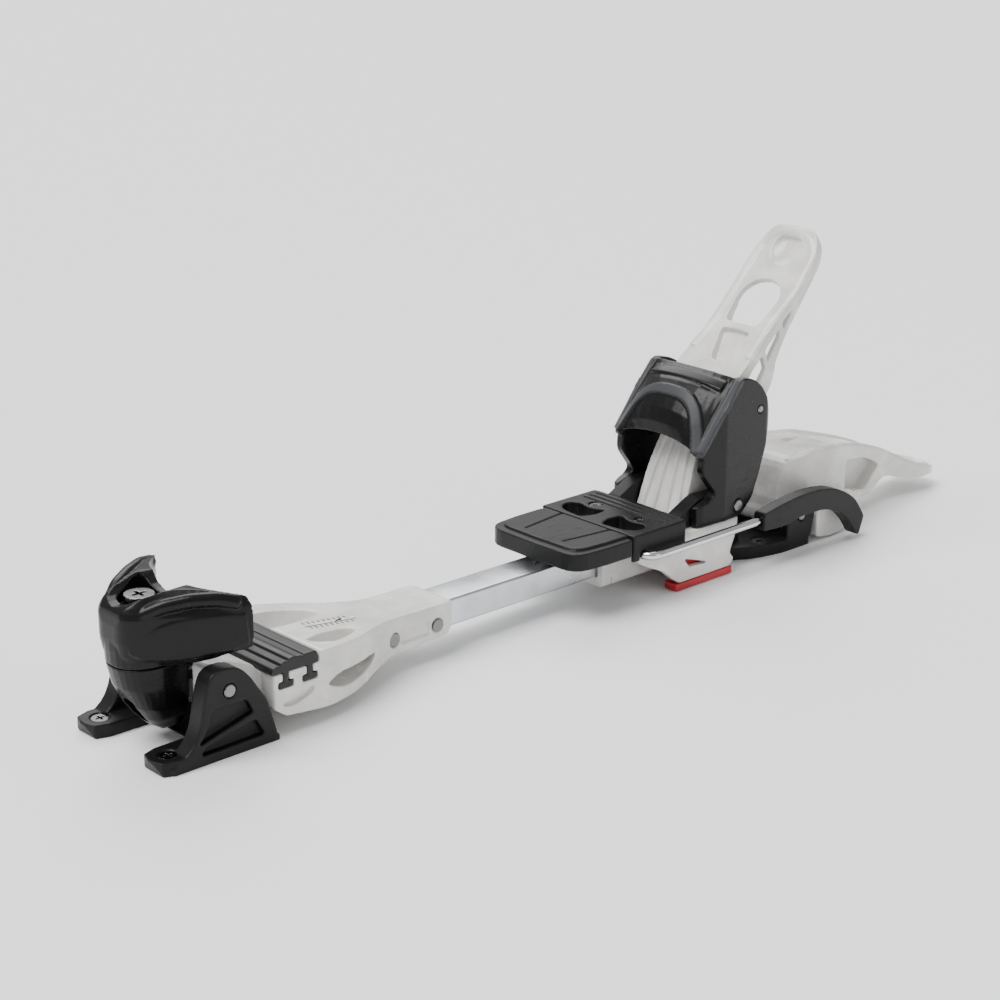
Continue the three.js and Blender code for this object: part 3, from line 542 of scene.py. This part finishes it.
def make_finishes(colours):
    """Builds the shared effects and every material, once."""
    for build in (grain_group, sheen_and_rub_group, scuff_group, brushed_group):
        build()
    black = tuple(colours.black)
    white = tuple(colours.white)
    # pale, like the third argument of each plastic below, is the lighter edge colour: painted edge highlight
    # and rubbing on convex edges.
    pale = (0.05, 0.05, 0.053)
    return {
        "satin": plastic("Satin black", black, pale, (0.26, 0.34), 1900.0, 0.000006, 0.3, 0.22),
        "band_sheen_black": plastic(
            "Satin black with painted band highlights", black, pale, (0.26, 0.42), 1900.0, 0.000006, 0.3, 0.22,
            band=tuple(colours.band),
        ),
        "grained": plastic(
            "Grained black", tuple(colours.grained), pale, (0.40, 0.56), 1300.0, 0.00006, 0.5, 0.22
        ),
        "plate": plastic(
            "Sliding plate", tuple(colours.plate), (0.10, 0.10, 0.11), (0.30, 0.46), 1600.0, 0.00003, 0.5, 0.3
        ),
        "marks": plastic(
            "Printed grey", tuple(colours.marks), (0.06, 0.06, 0.062), (0.4, 0.5), 1600.0, 0.00001, 0.2
        ),
        "white": plastic(
            "Gloss white", white, (0.9, 0.89, 0.87), (0.24, 0.40), 1500.0, 0.00001, 0.25, 0.5, 0.25
        ),
        "red": plastic("Lock red", tuple(colours.red), (0.6, 0.06, 0.07), (0.28, 0.45), 1500.0, 0.00002, 0.3),
        "aluminium": metal("Satin aluminium", tuple(colours.aluminium), (0.26, 0.40), 2200.0, 0.00002),
        "steel": metal("Plated steel", tuple(colours.steel), (0.18, 0.34), 1500.0, 0.00002),
        "chrome": metal("Polished chrome", tuple(colours.chrome), (0.05, 0.12), 900.0, 0.000004),
    }


def finish(name):
    """Material by its short name, built with all the others the first time that one is asked for."""
    titles = {
        "satin": "Satin black",
        "band_sheen_black": "Satin black with painted band highlights",
        "grained": "Grained black",
        "plate": "Sliding plate",
        "marks": "Printed grey",
        "white": "Gloss white",
        "red": "Lock red",
        "aluminium": "Satin aluminium",
        "steel": "Plated steel",
        "chrome": "Polished chrome",
    }
    if titles[name] not in bpy.data.materials:
        make_finishes(bpy.context.scene.binding_colours)
    return bpy.data.materials[titles[name]]


# ---------------------------------------------------------------- pieces


def mould(scene, node, look, share=1.0, rounds=None, grown=()):
    """One moulding in place of its node; share scales the cell that it is rebuilt on."""
    sizes = scene.binding_sizes
    piece = moulding(node, sizes.cell * share, sizes.rounds if rounds is None else rounds, grown)
    dress(piece, node, finish(look))
    return piece


class BINDING_OT_toe_base(bpy.types.Operator):
    """Toe base with its pocketed ears"""

    bl_idname = "binding.toe_base"
    bl_label = "Toe base"

    def execute(self, context):
        mould(context.scene, "toe_base", "grained", 0.9)
        return {"FINISHED"}


class BINDING_OT_toe_piece(bpy.types.Operator):
    """Toe cap with its wings, and the shell below it"""

    bl_idname = "binding.toe_piece"
    bl_label = "Toe piece"

    # One side panel from the nose back to the wing's tip, in millimetres: x, distance from the centre
    # plane, and the heights of its lower and upper edges.
    PANEL = np.array([
        (-33.5, 10.5, 49.5, 53.0), (-30.0, 13.6, 46.5, 57.5), (-24.0, 16.8, 45.2, 61.5),
        (-16.0, 21.4, 45.2, 64.2), (-8.0, 26.3, 45.8, 65.4), (2.0, 32.0, 47.4, 65.8),
        (10.6, 35.9, 50.0, 65.0),
    ])

    # Middle of one wing's rounded crest, from the nose back to the tip: x, distance from the centre
    # plane, z.
    CREST = np.array([
        (-28, 11.5, 66.0), (-20, 17.5, 70.2), (-10, 23.4, 71.9), (0, 29.2, 71.7), (8, 33.4, 69.6),
    ])
    CREST_RADIUS = 3.3 * MM
    PANEL_RISE = 1.5 * MM

    def execute(self, context):
        grown = []
        for side in (1.0, -1.0):
            grown.append(rings_mesh("Side panel", self.panel(side)))
            crest = even_path(self.CREST, 40) * (1.0, side, 1.0)
            grown.append(rings_mesh("Wing crest", tube(crest * MM, self.CREST_RADIUS, 16)))
        mould(context.scene, "toe_cap", "satin", 0.7, 7, grown)
        mould(context.scene, "toe_shell", "satin", 0.7, 7)
        return {"FINISHED"}

    def panel(self, side):
        """Raised panel on one wing: a flat band along the wing's outer side, whose width follows the
        two edges and whose face looks square to the side in plan."""
        x, y, low, high = even_path(self.PANEL, 48).T
        path = np.stack([x, side * y, (low + high) / 2], axis=-1)
        outwards = np.stack([-np.gradient(y), side * np.gradient(x), np.zeros(48)], axis=-1)
        outwards /= np.linalg.norm(outwards, axis=1, keepdims=True)
        return ribbon((path - 0.5 * outwards) * MM, outwards, (high - low) * MM, self.PANEL_RISE, 36)


class BINDING_OT_front_housing(bpy.types.Operator):
    """White front housing, its scale pointer and the sliding plate"""

    bl_idname = "binding.front_housing"
    bl_label = "Front housing"

    # The printed scale, in millimetres: where its ticks stand along X, half a tick's thickness, the two
    # rows across the housing, and the line between them as x and y ranges.
    TICKS = np.arange(66.0, 93.0, 3.0)
    HALF_TICK = 0.4
    ROWS = ((-9.4, -7.2), (-3.0, -0.8))
    LINE = (64.0, 94.0, -6.5, -5.9)

    def execute(self, context):
        mould(context.scene, "front_housing", "white", 0.9, 3)
        mould(context.scene, "scale_pointer", "grained", 0.3, 1)
        mould(context.scene, "afd_plate", "plate", 0.6, 2)
        self.scale_marks()
        return {"FINISHED"}

    def scale_marks(self):
        """Thin printed scale beside the pointer's slot: two rows of ticks and a line, each a flat box
        whose top lies parallel to the housing's sloping top, z = 34.6 - 0.12 (x - 62)."""
        half = self.HALF_TICK
        boxes = [(x - half, x + half, *row) for row in self.ROWS for x in self.TICKS]
        boxes.append(self.LINE)
        x0, x1, y0, y1 = np.array(boxes).T
        x = np.stack([x0, x1, x1, x0] * 2, axis=-1)
        y = np.stack([y0, y0, y1, y1] * 2, axis=-1)
        lift = np.repeat([-0.15, 0.12], 4)
        z = 34.6 - 0.12 * (x - 62.0) + lift
        points = np.stack([x, y, z], axis=-1).reshape(-1, 3) * MM
        sides = np.array([(3, 2, 1, 0), (4, 5, 6, 7), (0, 1, 5, 4), (1, 2, 6, 5), (2, 3, 7, 6), (3, 0, 4, 7)])
        faces = (np.arange(len(boxes))[:, None, None] * 8 + sides).reshape(-1, 4)
        mesh = bpy.data.meshes.new("scale_marks")
        mesh.from_pydata(points.tolist(), [], faces.tolist())
        outward(mesh)
        piece = link("scale_marks", mesh)
        mesh.materials.append(finish("marks"))
        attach(piece, BODY_OF["front_housing"])


class BINDING_OT_rail(bpy.types.Operator):
    """Aluminium rail"""

    bl_idname = "binding.rail"
    bl_label = "Rail"

    WALL = 2.4 * MM
    OUTER_CORNER = 1.4 * MM
    INNER_CORNER = 0.8 * MM

    def execute(self, context):
        edge = context.scene.binding_sizes.edge
        low, high = (np.array(corner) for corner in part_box("rail_bar"))
        width, height = high[1] - low[1], high[2] - low[2]
        middle = (low[1:] + high[1:]) / 2
        outer = rounded_rectangle(width, height, self.OUTER_CORNER, 6)
        lip = rounded_rectangle(width - 2 * edge, height - 2 * edge, self.OUTER_CORNER - edge, 6)
        inner = rounded_rectangle(width - 2 * self.WALL, height - 2 * self.WALL, self.INNER_CORNER, 6)
        stations = [
            (low[0], lip), (low[0] + edge, outer), (high[0] - edge, outer),
            (high[0], lip), (high[0], inner), (low[0], inner),
        ]
        rings = np.array([
            np.column_stack([np.full(len(ring), x), ring + middle]) for x, ring in stations
        ])
        piece = rings_piece("rail_extrusion", rings, closed_rows=True)
        smooth(piece)
        dress(piece, "rail_bar", finish("aluminium"))
        return {"FINISHED"}


class BINDING_OT_carriage(bpy.types.Operator):
    """Heel carriage, tower and red length lock"""

    bl_idname = "binding.carriage"
    bl_label = "Heel carriage"

    # Line up the front of the tower, in millimetres: x and z. The ribs stand at these places across it.
    FRONT = np.array([(305.6, 33.5), (307.8, 41), (310.2, 48), (312.4, 55), (315.6, 63), (318.8, 70)])
    ACROSS = (-11.0, -4.0, 4.0, 11.0)
    RIB_RADIUS = 1.5 * MM

    def execute(self, context):
        mould(context.scene, "carriage_body", "white", 0.8, 3)
        ribs = [rings_mesh("Tower rib", self.rib(y)) for y in self.ACROSS]
        mould(context.scene, "heel_tower", "white", 0.7, 4, ribs)
        mould(context.scene, "length_lock", "red", 0.9)
        return {"FINISHED"}

    def rib(self, y):
        """Upright rib on the tower's front: a tube that follows the front and leans inwards as it
        rises."""
        x, z = even_path(self.FRONT, 40).T
        path = np.stack([x, y * np.linspace(1.15, 0.75, 40), z], axis=-1)
        return tube(path * MM, self.RIB_RADIUS, 12)


class BINDING_OT_brake(bpy.types.Operator):
    """Brake pad, pedal, wires and arms"""

    bl_idname = "binding.brake"
    bl_label = "Brake"

    def execute(self, context):
        mould(context.scene, "brake_block", "grained", 0.75)
        mould(context.scene, "brake_pedal", "grained", 0.75)
        radius = context.scene.binding_sizes.wire_radius
        for hand in ("left", "right"):
            self.wire(f"brake_wire_{hand}", radius)
            mould(context.scene, f"brake_arm_{hand}", "grained", 0.75, 10)
        return {"FINISHED"}

    def wire(self, node, radius):
        """Round wire: in from the side, a quarter-circle bend, then straight back along the binding."""
        low, high = (np.array(corner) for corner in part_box(node))
        side = 1.0 if high[1] > -low[1] else -1.0
        outer = max(abs(low[1]), abs(high[1])) - radius
        inner = min(abs(low[1]), abs(high[1]))
        front = low[0] + radius
        level = (low[2] + high[2]) / 2
        bend = 3 * radius
        turn = np.linspace(0, math.pi / 2, 14)
        arc_x = front + bend - bend * np.cos(turn)
        arc_y = outer - bend + bend * np.sin(turn)
        cross_y = np.linspace(inner, outer - bend, 8)[:-1]
        run_x = np.linspace(front + bend, high[0], 24)[1:]
        x = np.concatenate([np.full(len(cross_y), front), arc_x, run_x])
        y = np.concatenate([cross_y, arc_y, np.full(len(run_x), outer)])
        path = np.column_stack([x, side * y, np.full(len(x), level)])
        piece = rings_piece(f"{node}_round", tube(path, radius, 24, ends=False))
        smooth(piece)
        dress(piece, node, finish("chrome"))


class BINDING_OT_heel_cup(bpy.types.Operator):
    """Heel cup with its treadles"""

    bl_idname = "binding.heel_cup"
    bl_label = "Heel cup"

    # Lengthwise sections of the hood's front, (x, z) in millimetres from the lip up: beside the cheeks,
    # and in the middle.
    EDGE = np.array([(301, 70.6), (304.2, 74.6), (309, 80.6), (315, 88), (322, 96.2), (331, 106.6)])
    DOME = np.array([(301.6, 76.8), (302.2, 83), (304.6, 90), (309.6, 96.6), (317.6, 102.2), (331, 107.4)])
    MIDDLE = np.array((336.0, 0.0, 78.0)) * MM
    # Width and height of each raised band, and how far the painted highlight colour on them reaches.
    ARCH_BAND = (6.4 * MM, 1.3 * MM)
    TOP_BAND = (7.0 * MM, 1.0 * MM)
    EDGE_BAND = (4.4 * MM, 0.8 * MM)
    HIGHLIGHT_REACH = 4.2 * MM

    def execute(self, context):
        across = np.linspace(-1.0, 1.0, 61)
        arch = self.hood(28.6 * across, 0.15 + 3.1 * (1 - across ** 4))
        top = self.hood(25.0 * across, np.full(61, 4.45))
        along = np.linspace(0.5, 4.9, 41)
        sides = [self.hood(np.full(41, sign * 30.6), along) for sign in (1.0, -1.0)]
        lean = [np.tile((-1.2, sign * 0.9, 0.9), (41, 1)) for sign in (1.0, -1.0)]
        grown = [
            rings_mesh("Arch band", ribbon(arch, arch - self.MIDDLE, *self.ARCH_BAND)),
            rings_mesh("Top band", ribbon(top, top - self.MIDDLE, *self.TOP_BAND)),
        ]
        for path, up in zip(sides, lean):
            grown.append(rings_mesh("Edge band", ribbon(path, up, *self.EDGE_BAND)))
        piece = mould(context.scene, "heel_cup", "band_sheen_black", 0.75, 8, grown)
        # Mask of the painted highlight on the arch and edge bands; the top band gets none.
        nearness(piece, "band", [arch, *sides], self.HIGHLIGHT_REACH)
        for hand in ("left", "right"):
            mould(context.scene, f"treadle_{hand}", "grained", 0.6, 6)
        return {"FINISHED"}

    def hood(self, y, u):
        """Points of the hood's front at distances y in millimetres from the centre plane and places u
        along the sections: the section beside the cheeks, moved towards the middle one by
        1 - |y / 30| ** 2.4."""
        swell = np.clip(1 - np.abs(y / 30.0) ** 2.4, 0.0, 1.0)
        steps = np.arange(len(self.EDGE))
        edge = np.stack([np.interp(u, steps, self.EDGE[:, i]) for i in (0, 1)], axis=-1)
        dome = np.stack([np.interp(u, steps, self.DOME[:, i]) for i in (0, 1)], axis=-1)
        x, z = (edge + swell[:, None] * (dome - edge)).T
        return np.stack([x, y, z], axis=-1) * MM


class BINDING_OT_heel_lever(bpy.types.Operator):
    """White opening lever"""

    bl_idname = "binding.heel_lever"
    bl_label = "Heel lever"

    FOOT = np.array((337.5, 0.0, 102.5))
    LEAN = math.radians(44)
    # Half of the rim, from a shoulder up to the round end: distance up the lever, and across it.
    RIM = np.array([
        (15, 19.6), (34, 17.4), (50, 18.3), (62, 19), (78, 19), (86, 17.6), (92.6, 12.6), (95.6, 6), (96, 0),
    ])
    RIM_RADIUS = 3.3 * MM

    def execute(self, context):
        grown = [rings_mesh("Lever rim", self.rim())]
        mould(context.scene, "heel_lever", "white", 0.75, 4, grown)
        return {"FINISHED"}

    def rim(self):
        """Rounded rim round the lever's face: a tube along the outline, sunk a little below the face,
        in axes that lean back with the lever."""
        half = even_path(self.RIM, 60)
        s, y = np.concatenate([half, half[-2::-1] * (1, -1)]).T
        n = np.interp(s, [-1, 28, 62, 86, 98], [0, -2.6, -4, -2.6, 0]) - 2.2
        x = s * math.cos(self.LEAN) - n * math.sin(self.LEAN)
        z = s * math.sin(self.LEAN) + n * math.cos(self.LEAN)
        return tube((self.FOOT + np.stack([x, y, z], axis=-1)) * MM, self.RIM_RADIUS, 16)


class BINDING_OT_rear(bpy.types.Operator):
    """Heel base and the lock lever"""

    bl_idname = "binding.rear"
    bl_label = "Heel base and lock lever"

    # Half of the lock lever's rim, from its shoulder to its tip: x, distance from the centre plane, z.
    RIM = np.array([
        (386, 19, 46.6), (404, 20.4, 49), (431, 18.4, 46), (448, 13.6, 41.6), (463, 11.2, 37),
        (478, 9.8, 31.4), (494, 10.6, 23.4), (508, 12.2, 17), (519, 12.4, 13.6), (526, 8.6, 12),
        (527.6, 0, 11.6),
    ])
    RIM_RADIUS = 2.4 * MM

    def execute(self, context):
        mould(context.scene, "heel_base", "grained", 0.9)
        mould(context.scene, "lock_lever", "white", 0.9, 4, [rings_mesh("Lock rim", self.rim())])
        return {"FINISHED"}

    def rim(self):
        """Rounded rim along both edges of the lock lever's top, as a tube that goes round its tip."""
        half = even_path(self.RIM, 80)
        path = np.concatenate([half, half[-2::-1] * (1, -1, 1)])
        return tube(path * MM, self.RIM_RADIUS, 14)


class BINDING_OT_fasteners(bpy.types.Operator):
    """Screws, rivets and pins"""

    bl_idname = "binding.fasteners"
    bl_label = "Fasteners"

    PINS = ("toe_pivot_pin", "heel_pivot_pin", "heel_lever_pin", "lock_lever_pin")
    SCREWS = (
        "toe_screw_left", "toe_screw_right", "heel_screw_left", "heel_screw_right", "pad_screw_left",
        "pad_screw_right", "height_screw", "release_adjuster", "heel_release_screw",
    )
    LARGE = ("height_screw", "release_adjuster", "heel_release_screw")
    RIVETS = ("housing_rivet_front", "housing_rivet_rear")

    def execute(self, context):
        for node in self.SCREWS:
            mould(context.scene, node, "steel", 0.4 if node in self.LARGE else 0.25, 1)
        for node in self.RIVETS:
            mould(context.scene, node, "steel", 0.35, 3)
        for node in self.PINS:
            self.pin(node, context.scene.binding_sizes.edge)
        return {"FINISHED"}

    def pin(self, node, edge):
        """Turned pin along Y with a small chamfer at each end."""
        low, high = (np.array(corner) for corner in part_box(node))
        radius = (high[2] - low[2]) / 2
        centre = (low + high) / 2
        half = (high[1] - low[1]) / 2
        profile = [
            (-half, radius - edge), (edge - half, radius), (half - edge, radius), (half, radius - edge),
        ]
        rings = turned(profile, 48)[:, :, [1, 0, 2]] + centre
        piece = rings_piece(f"{node}_turned", rings)
        smooth(piece)
        dress(piece, node, finish("steel"))


class BINDING_OT_springs(bpy.types.Operator):
    """Release springs and their plungers"""

    bl_idname = "binding.springs"
    bl_label = "Springs"

    def execute(self, context):
        radius = context.scene.binding_sizes.spring_wire
        self.spring("release_spring", radius, 6)
        self.spring("heel_spring", radius, 4)
        for node in ("spring_plunger", "heel_plunger"):
            mould(context.scene, node, "steel", 0.4, 2)
        return {"FINISHED"}

    def spring(self, node, radius, turns):
        """Coil along X: the wire's line goes round by a full turn for each pitch."""
        low, high = (np.array(corner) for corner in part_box(node))
        centre = (low + high) / 2
        reach = (high[2] - low[2]) / 2 - radius
        t = np.linspace(0, 1, 28 * turns + 1)
        angle = 2 * math.pi * turns * t
        x = low[0] + radius + t * (high[0] - low[0] - 2 * radius)
        path = np.column_stack([x, centre[1] + reach * np.cos(angle), centre[2] + reach * np.sin(angle)])
        piece = rings_piece(f"{node}_coil", tube(path, radius, 12))
        smooth(piece)
        dress(piece, node, finish("steel"))


# ---------------------------------------------------------------- stage


class BINDING_OT_stage(bpy.types.Operator):
    """Floor, soft lights, pale surroundings and the camera"""

    bl_idname = "binding.stage"
    bl_label = "Stage"

    FLOOR_REACH = 30.0
    SUN_ANGLE = math.radians(40)
    SURROUNDINGS = 0.5

    def execute(self, context):
        scene = context.scene
        self.floor(scene.binding_colours)
        self.surroundings(scene)
        middle = sum(CAD_BOX, Vector()) / 2
        power = scene.binding_stage.power
        self.sun("Key", Vector((0.5, -0.12, -1.0)), 3.8 * power)
        self.sun("Back", Vector((-0.5, -0.75, -0.9)), 1.6 * power)
        self.lamp("Fill", middle + Vector((0.3, -1.6, 0.6)), middle, 1.0, 3 * power)
        self.camera(scene)
        return {"FINISHED"}

    def floor(self, colours):
        reach = self.FLOOR_REACH
        mesh = bpy.data.meshes.new("Floor")
        mesh.from_pydata(
            [(-reach, -reach, 0), (reach, -reach, 0), (reach, reach, 0), (-reach, reach, 0)],
            [],
            [(0, 1, 2, 3)],
        )
        floor = link("Floor", mesh)
        material, tree, shader = new_material("Pale floor")
        tint = tuple(colours.floor)
        texture = effect(tree, "Moulded grain", Scale=400.0)
        dark = tuple(c * 0.985 for c in tint)
        tree.links.new(blended(tree, texture.outputs["Tone"], dark, tint), shader.inputs["Base Color"])
        shader.inputs["Roughness"].default_value = 0.7
        floor.data.materials.append(material)

    def surroundings(self, scene):
        world = bpy.data.worlds.new("Pale studio")
        world.use_nodes = True
        back = world.node_tree.nodes["Background"]
        back.inputs["Color"].default_value = (1.0, 1.0, 1.0, 1.0)
        back.inputs["Strength"].default_value = self.SURROUNDINGS
        scene.world = world

    def sun(self, name, direction, strength):
        """Even light from far away, with the soft edges of a broad window."""
        data = bpy.data.lights.new(name, "SUN")
        data.energy = strength
        data.angle = self.SUN_ANGLE
        lamp = bpy.data.objects.new(name, data)
        lamp.rotation_mode = "QUATERNION"
        lamp.rotation_quaternion = direction.to_track_quat("-Z", "Y")
        bpy.context.scene.collection.objects.link(lamp)

    def lamp(self, name, place, target, size, watts):
        data = bpy.data.lights.new(name, "AREA")
        data.shape = "SQUARE"
        data.size = size
        data.energy = watts
        lamp = bpy.data.objects.new(name, data)
        lamp.location = place
        lamp.rotation_mode = "QUATERNION"
        lamp.rotation_quaternion = (target - place).to_track_quat("-Z", "Y")
        bpy.context.scene.collection.objects.link(lamp)

    def camera(self, scene):
        data = bpy.data.cameras.new("Camera")
        data.sensor_width = 36
        data.lens = scene.binding_stage.lens
        data.clip_start, data.clip_end = 0.01, 50
        camera = bpy.data.objects.new("Camera", data)
        camera.location = scene.binding_stage.eye
        camera.rotation_mode = "QUATERNION"
        camera.rotation_quaternion = Vector(scene.binding_stage.gaze).to_track_quat("-Z", "Y")
        scene.collection.objects.link(camera)
        scene.camera = camera


OPERATORS = (
    BINDING_OT_toe_base,
    BINDING_OT_toe_piece,
    BINDING_OT_front_housing,
    BINDING_OT_rail,
    BINDING_OT_carriage,
    BINDING_OT_brake,
    BINDING_OT_heel_cup,
    BINDING_OT_heel_lever,
    BINDING_OT_rear,
    BINDING_OT_fasteners,
    BINDING_OT_springs,
    BINDING_OT_stage,
)


class BINDING_PT_panel(bpy.types.Panel):
    """Settings and builders of the touring binding"""

    bl_idname = "BINDING_PT_panel"
    bl_label = "Touring binding"
    bl_space_type = "VIEW_3D"
    bl_region_type = "UI"
    bl_category = "Binding"

    def draw(self, context):
        layout = self.layout
        scene = context.scene
        for settings in (scene.binding_colours, scene.binding_sizes, scene.binding_stage):
            column = layout.column()
            for name in settings.__annotations__:
                column.prop(settings, name)
        for operator in OPERATORS:
            layout.operator(operator.bl_idname)


CLASSES = (BindingColours, BindingSizes, BindingStage, *OPERATORS, BINDING_PT_panel)


def register():
    for cls in CLASSES:
        bpy.utils.register_class(cls)
    bpy.types.Scene.binding_colours = bpy.props.PointerProperty(type=BindingColours)
    bpy.types.Scene.binding_sizes = bpy.props.PointerProperty(type=BindingSizes)
    bpy.types.Scene.binding_stage = bpy.props.PointerProperty(type=BindingStage)


def unregister():
    del bpy.types.Scene.binding_stage
    del bpy.types.Scene.binding_sizes
    del bpy.types.Scene.binding_colours
    for cls in reversed(CLASSES):
        bpy.utils.unregister_class(cls)


def main():
    register()
    for operator in OPERATORS:
        group, name = operator.bl_idname.split(".")
        getattr(getattr(bpy.ops, group), name)()


if __name__ == "__main__":
    main()
